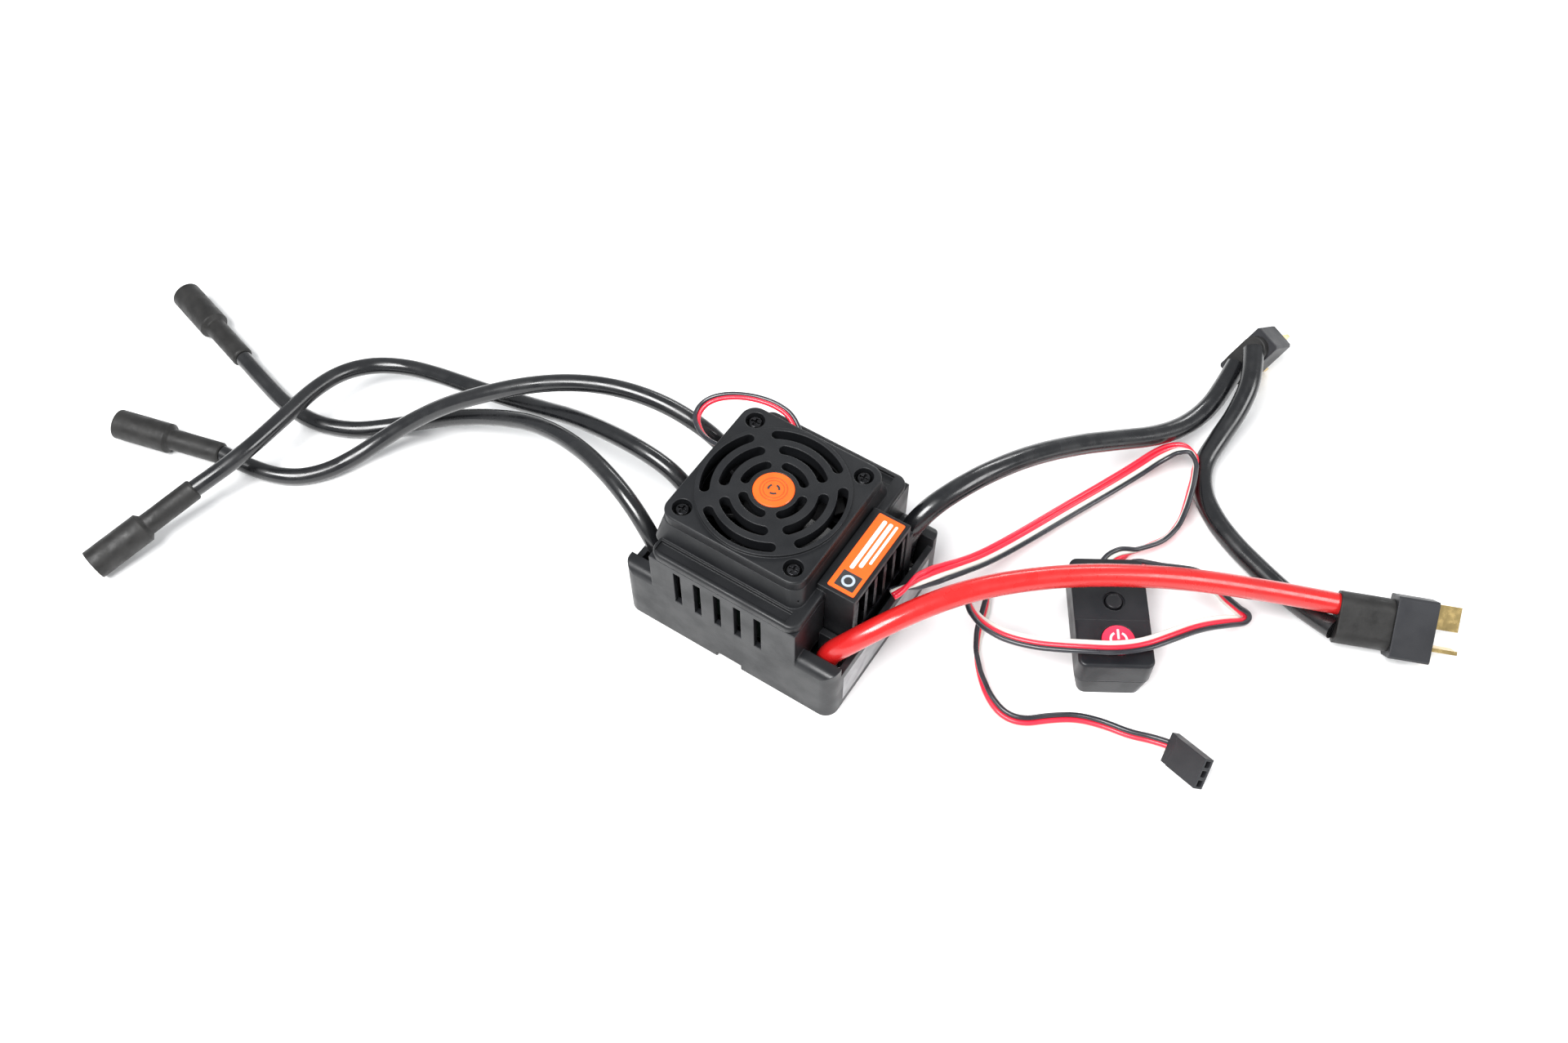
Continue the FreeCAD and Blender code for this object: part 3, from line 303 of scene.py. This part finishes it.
# ---------------------------------------------------------------- cords
def spline(name, points):
    """A smooth line through space whose control points are the route, in millimetres."""
    data = bpy.data.curves.new(name, "CURVE")
    data.dimensions = "3D"
    data.resolution_u = 16
    line = data.splines.new("NURBS")
    line.points.add(len(points) - 1)
    for target, point in zip(line.points, points):
        target.co = (*(Vector(point[:3]) * MM), 1)
    line.order_u = 3
    line.use_endpoint_u = True
    piece = bpy.data.objects.new(name, data)
    bpy.context.collection.objects.link(piece)
    return piece


def sampled(piece):
    """The points of a curve that has no bevel, in order."""
    bpy.context.view_layer.update()
    mesh = bpy.data.meshes.new_from_object(piece)
    points = [vertex.co.copy() for vertex in mesh.vertices]
    bpy.data.meshes.remove(mesh)
    return points


def length_of(points):
    return sum((after - before).length for before, after in zip(points, points[1:]))


def round_cord(name, points, diameter, slot_name):
    piece = spline(name, points)
    length = length_of(sampled(piece))
    piece.data.bevel_depth = diameter / 2
    piece.data.bevel_resolution = 8
    piece.data.use_fill_caps = True
    piece.data.materials.append(MATERIALS[slot_name])
    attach(piece, "case")
    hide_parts(name.removeprefix("cord_"))


def rolled_frames(path, rolls):
    """At each point, the way across the ribbon; a roll of 0 lies flat, 90 stands on edge."""
    frames = []
    last = len(path) - 1
    spans = len(rolls) - 1
    for index, point in enumerate(path):
        heading = (path[min(index + 1, last)] - path[max(index - 1, 0)]).normalized()
        left = UP.cross(heading).normalized()
        rise = heading.cross(left).normalized()
        where = index / last * spans
        low = min(int(where), spans - 1)
        part = where - low
        part = part * part * (3 - 2 * part)
        roll = math.radians(rolls[low] * (1 - part) + rolls[low + 1] * part)
        frames.append((point, heading, left * math.cos(roll) + rise * math.sin(roll)))
    return frames


def ribbon(name, points, width, strand_names):
    """A flat cord of round strands side by side; each point's fourth number is its roll."""
    guide = spline(name + "_guide", points)
    path = sampled(guide)
    bpy.data.objects.remove(guide)
    frames = rolled_frames(path, [point[3] for point in points])
    count = len(strand_names)
    radius = width / count / 2 * STRAND_OVERLAP
    pitch = (width - 2 * radius) / (count - 1)
    sides = 12
    mesh = bmesh.new()
    for strand in range(count):
        shift = ((count - 1) / 2 - strand) * pitch
        rings = []
        for point, heading, across in frames:
            normal = heading.cross(across).normalized()
            ring = []
            for side in range(sides):
                angle = 2 * math.pi * side / sides
                offset = across * (shift + math.cos(angle) * radius)
                ring.append(mesh.verts.new(point + offset + normal * math.sin(angle) * radius))
            rings.append(ring)
        for before, after in zip(rings, rings[1:]):
            for side in range(sides):
                beside = (side + 1) % sides
                face = mesh.faces.new((before[side], before[beside], after[beside], after[side]))
                face.material_index = strand
                face.smooth = True
        for ring, order in ((rings[0], -1), (rings[-1], 1)):
            face = mesh.faces.new(ring[::order])
            face.material_index = strand
    data = bpy.data.meshes.new(name)
    mesh.to_mesh(data)
    mesh.free()
    piece = bpy.data.objects.new(name, data)
    bpy.context.collection.objects.link(piece)
    for strand_name in strand_names:
        data.materials.append(MATERIALS[strand_name])
    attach(piece, "case")
    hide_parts(name.removeprefix("cord_"))


# Routes are in millimetres, each from the cord's exit to its far end.
MOTOR_ROUTES = {
    "near": [
        (-25.2, -17.5, 8.6), (-26.2, -17.4, 15.8), (-30, -16.7, 22.4), (-36.8, -14.2, 26.5),
        (-46, -11, 28), (-57, -7.4, 26.6), (-68.5, -4.6, 23.2), (-80, -3.2, 18.6),
        (-92, -4, 13.2), (-103.5, -6.8, 8.3), (-113.5, -11.6, 4.6), (-121.5, -17.6, 2.8),
        (-129.5, -24, 2.4), (-139.5, -27.6, 2.4), (-150.5, -27.4, 2.4), (-161.7, -24.8, 3),
        (-173, -21.8, 3.9)],
    "middle": [
        (-25.2, 0, 8.6), (-26.2, 0, 15.8), (-30, 0.2, 22.4), (-36.8, 0.6, 26.2), (-46.5, 1, 27),
        (-58, 1.6, 25.6), (-70, 2.6, 21.8), (-82, 2.8, 17.2), (-94, 2.4, 14), (-106, 1.6, 11.8),
        (-117.5, 0.8, 10), (-127.5, -1.2, 9), (-135.5, -6, 9.4), (-140, -13.8, 11),
        (-141.2, -23.5, 12.4), (-141, -33.5, 12.6), (-141, -42.5, 12.8), (-141.6, -50.5, 12.6),
        (-143.5, -58.2, 11.4), (-146, -65.4, 10)],
    "far": [
        (-25.2, 17.5, 8.6), (-26.2, 17.4, 15.8), (-30, 16.7, 22.4), (-36.6, 15.9, 26.9),
        (-46, 15.2, 29.3), (-56, 13.6, 30), (-66, 10.6, 29.8), (-76, 6.2, 28.4),
        (-85.5, 0.6, 26), (-94.5, -5.2, 22.3), (-103.5, -10.8, 17.4), (-111.5, -17, 11.5),
        (-117.5, -24, 6.5), (-121.8, -31.6, 3.4), (-126, -39.4, 2.4), (-132.4, -45.8, 2.4),
        (-142.4, -49.2, 2.8), (-153, -50.4, 3.9)],
}
BATTERY_ROUTES = {
    "red": [
        (24.4, -19.3, 8.7), (25, -19.3, 16), (29.2, -18, 22.8), (35, -11.6, 27.8),
        (41.8, -2.2, 30.7), (50, 8.4, 31.6), (60, 18.6, 31), (70.5, 28, 29.4), (82, 37.2, 26.6),
        (93.5, 46, 22.8), (105, 54.2, 18.2), (115.4, 61.4, 14), (125, 67.4, 10.6)],
    "black": [
        (24.4, 18.8, 8.7), (24.6, 18.8, 16), (25.3, 19.9, 23.1), (27.6, 25.2, 27.8),
        (31.2, 33.6, 29.3), (35.6, 44, 28.6), (41, 56.4, 25.2), (48.2, 70, 19.8),
        (56, 81.8, 14.6), (62.8, 91, 11), (67.6, 99.8, 9), (70.4, 108.8, 8.6),
        (71.3, 117.4, 9.7), (71.3, 125.8, 12.4)],
    "jumper": [
        (73.7, 128.8, 17.8), (77.5, 121, 15.7), (78.4, 111.6, 11.4), (77.4, 102.6, 7.6),
        (76.8, 94.4, 4.8), (80.2, 86.8, 3.2), (86.8, 80.4, 2.9), (95, 75.4, 2.9),
        (104.6, 71.4, 2.9), (113.4, 67.8, 3.4), (120.6, 64.8, 4.9), (126.9, 62.7, 6.4)],
}
# Each point of a flat cord ends with its roll in degrees.
SWITCH_ROUTE = [
    (29.9, 3.6, 17.8, 150), (33, 8.4, 19, 60), (36.4, 14.6, 18, 10), (39.4, 21.6, 14.8, 0),
    (42, 29.4, 10.6, 0), (44.6, 38.4, 7, 0), (48, 49, 4.4, 0), (52.2, 60.6, 3, 0),
    (57.4, 72.4, 3, 0), (62.4, 82.6, 4.4, 0), (66.2, 89.6, 7.2, 0), (70.2, 92.6, 9.6, -15),
    (74.6, 92.2, 9.6, -50), (76.8, 87.8, 8, -90), (78.4, 82, 5.6, -98), (79.8, 75.2, 3.6, -98),
    (79.3, 68.4, 3, -108), (76, 62.4, 3, -122), (72, 57.2, 3.4, -115), (69.2, 52.2, 4.2, -60),
    (70.2, 47.5, 5, 0)]
RECEIVER_ROUTE = [
    (75, 48.7, 4, 0), (74, 52.6, 3.2, 40), (76.4, 56.2, 2.6, 80), (80.6, 58, 2.4, 90),
    (85.2, 60.2, 2.4, 90), (90.2, 62.4, 2.4, 90), (95.4, 61.2, 2.4, 90), (99.4, 58.8, 2.4, 90),
    (103.4, 57.4, 2.8, 90), (106.8, 55, 4.4, 50), (106.4, 51.8, 7, 10), (103, 47.6, 9.6, 0),
    (97.8, 40.4, 12.8, 0), (93.4, 32.2, 15.3, 0), (89.3, 25.8, 16.2, 0), (83.7, 20.9, 16.4, 0),
    (78, 17.9, 16.1, 0), (72.2, 15.2, 15.2, 0), (66.2, 12.8, 14.2, 0), (59.5, 11.4, 13, 5),
    (53.6, 11.8, 11.9, 15), (48.8, 13.8, 10.6, 35), (44.6, 18, 8.4, 60), (42.4, 23, 5.8, 80),
    (44, 27.4, 3.6, 90), (47.2, 26, 2.4, 100), (48.9, 20.8, 2.4, 115), (50.4, 14.6, 2.4, 115),
    (53, 8.8, 2.4, 105), (56.8, 3.6, 2.4, 85), (61.6, -1, 2.4, 60), (67.2, -3.6, 2.4, 45),
    (72.6, -2.6, 2.4, 35), (77.8, 2.2, 2.4, 30), (83.3, 6, 2.4, 35), (89.6, 7.9, 2.4, 50),
    (96.2, 8.7, 2.6, 60), (101.6, 10.6, 2.8, 60), (105.5, 11, 3.4, 60)]
FAN_ROUTE = [
    (-24.9, 9.4, 33, 60), (-28.8, 9.6, 32, 60), (-33, 11, 32.2, 50), (-36.4, 14, 33, 30),
    (-36, 18.4, 34.8, 20), (-31.6, 21.8, 36.6, 10), (-25, 24, 38, 0), (-18.4, 25.2, 38, 0),
    (-12.8, 24.8, 36.6, 0), (-9.4, 21.9, 34.8, 0)]


def add_cords():
    for name, points in MOTOR_ROUTES.items():
        round_cord("cord_motor_lead_" + name, points, MOTOR_LEAD, "black_silicone")
    front = [nodes["plug_housing_front"], nodes["plug_blades_front"]]
    rear = [nodes["plug_housing_rear"], nodes["plug_blades_rear"], nodes["plug_sleeve_rear"]]
    for name, silicone_name, pieces in (
            ("red", "red_silicone", front), ("black", "black_silicone", rear),
            ("jumper", "black_silicone", [nodes["plug_sleeve_front"]])):
        round_cord("cord_battery_lead_" + name, BATTERY_ROUTES[name], BATTERY_LEAD,
                   silicone_name)
    ribbon("cord_switch_ribbon", SWITCH_ROUTE, SWITCH_RIBBON,
           ("strand_red", "strand_red", "strand_white", "strand_black"))
    ribbon("cord_receiver_ribbon", RECEIVER_ROUTE, RECEIVER_RIBBON,
           ("strand_black", "strand_red", "strand_white"))
    ribbon("cord_fan_lead", FAN_ROUTE, FAN_LEAD, ("strand_black", "strand_red"))


# ---------------------------------------------------------------- printed marks
def flat_piece(name, outlines, height, material_name, body, turn=0, center=(0, 0)):
    """Thin printed shapes: each outline is a closed loop of points, or a pair of loops with a
    hole. Points are in millimetres and are turned and moved into place."""
    mesh = bmesh.new()
    place = Matrix.Translation(Vector((*center, 0))) @ Matrix.Rotation(math.radians(turn), 4, "Z")
    for outline in outlines:
        outer, inner = outline if isinstance(outline[0], list) else (outline, None)
        levels = []
        for level in (height, height + INK_THICKNESS):
            levels.append([[mesh.verts.new(place @ Vector((x, y, level))) for x, y in loop]
                           for loop in (outer, inner) if loop])
        for below, above in zip(*levels):
            count = len(below)
            for index in range(count):
                beside = (index + 1) % count
                mesh.faces.new((below[index], below[beside], above[beside], above[index]))
        for level in levels:
            if inner:
                count = len(outer)
                for index in range(count):
                    beside = (index + 1) % count
                    mesh.faces.new((level[0][index], level[0][beside], level[1][beside],
                                    level[1][index]))
            else:
                mesh.faces.new(level[0])
    bmesh.ops.recalc_face_normals(mesh, faces=mesh.faces)
    bmesh.ops.scale(mesh, vec=(MM, MM, MM), verts=mesh.verts)
    data = bpy.data.meshes.new(name)
    mesh.to_mesh(data)
    mesh.free()
    data.materials.append(MATERIALS[material_name])
    piece = bpy.data.objects.new(name, data)
    bpy.context.collection.objects.link(piece)
    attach(piece, body)


def ring_loop(radius, count=48):
    return [(radius * math.cos(2 * math.pi * step / count),
             radius * math.sin(2 * math.pi * step / count)) for step in range(count)]


def arc_band(radius, width, start, end, count=32):
    """A curved bar between two angles in degrees."""
    def along(distance, order):
        return [(distance * math.cos(math.radians(start + (end - start) * step / count)),
                 distance * math.sin(math.radians(start + (end - start) * step / count)))
                for step in range(count + 1)][::order]
    return along(radius + width / 2, 1) + along(radius - width / 2, -1)


def bar(x, y, width, height, corner=0.25, steps=5):
    """A rectangle with round corners."""
    points = []
    quarters = ((1, 1, 0), (-1, 1, 90), (-1, -1, 180), (1, -1, 270))
    for side_x, side_y, first in quarters:
        for step in range(steps + 1):
            angle = math.radians(first + 90 * step / steps)
            points.append((x + side_x * (width / 2 - corner) + corner * math.cos(angle),
                           y + side_y * (height / 2 - corner) + corner * math.sin(angle)))
    return points


def middle_and_top(node_name):
    """The middle of a piece seen from above and the height of its top, in millimetres."""
    low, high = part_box(node_name)
    return ((low[0] + high[0]) / 2 / MM, (low[1] + high[1]) / 2 / MM), high[2] / MM


def add_label_marks():
    """Plain stripes, and a ring in a dark square."""
    center, top = middle_and_top("label_plate")
    square_x, square_y = 0.2, -8.9
    flat_piece("label_square", [bar(square_x, square_y, 5.2, 4.8)], top, "dark_ink",
               "case", center=center)
    flat_piece("label_ring", [[ring_loop(1.7), ring_loop(1.05)]], top + INK_THICKNESS,
               "pad_grey", "case",
               center=(center[0] + square_x, center[1] + square_y))
    stripes = [bar(-1.15, 2.7, 1.1, 16.4, 0.5), bar(0.55, 3.4, 1.1, 15, 0.5),
               bar(2.1, 4.4, 0.7, 13, 0.34)]
    flat_piece("label_stripes", stripes, top, "white_ink", "case", center=center)


def add_disk_marks():
    """Two rings round a plain three-part figure."""
    center, top = middle_and_top("guard_centre_disk")
    rings = [[ring_loop(3.55), ring_loop(3.25)], [ring_loop(2.75), ring_loop(2.5)]]
    flat_piece("disk_ring", rings, top, "dark_orange", "case", center=center)
    figure = [arc_band(1.35, 0.55, first, first + 70, 12) for first in (20, 140, 260)]
    flat_piece("disk_blades", figure, top, "dark_ink", "case", center=center)


def add_power_sign():
    """The generic sign of a broken ring with a bar."""
    center, top = middle_and_top("power_button")
    sign = [arc_band(2.0, 0.62, 118, 422, 40), bar(0, 1.5, 0.62, 2.9, 0.2)]
    flat_piece("power_sign", sign, top, "pale_red", "power_button",
               turn=SWITCH_BOX_TURN, center=center)


MATERIALS = make_materials()
add_camera()
add_studio()
add_floor()
dress_cad_nodes()
add_cords()
add_label_marks()
add_disk_marks()
add_power_sign()
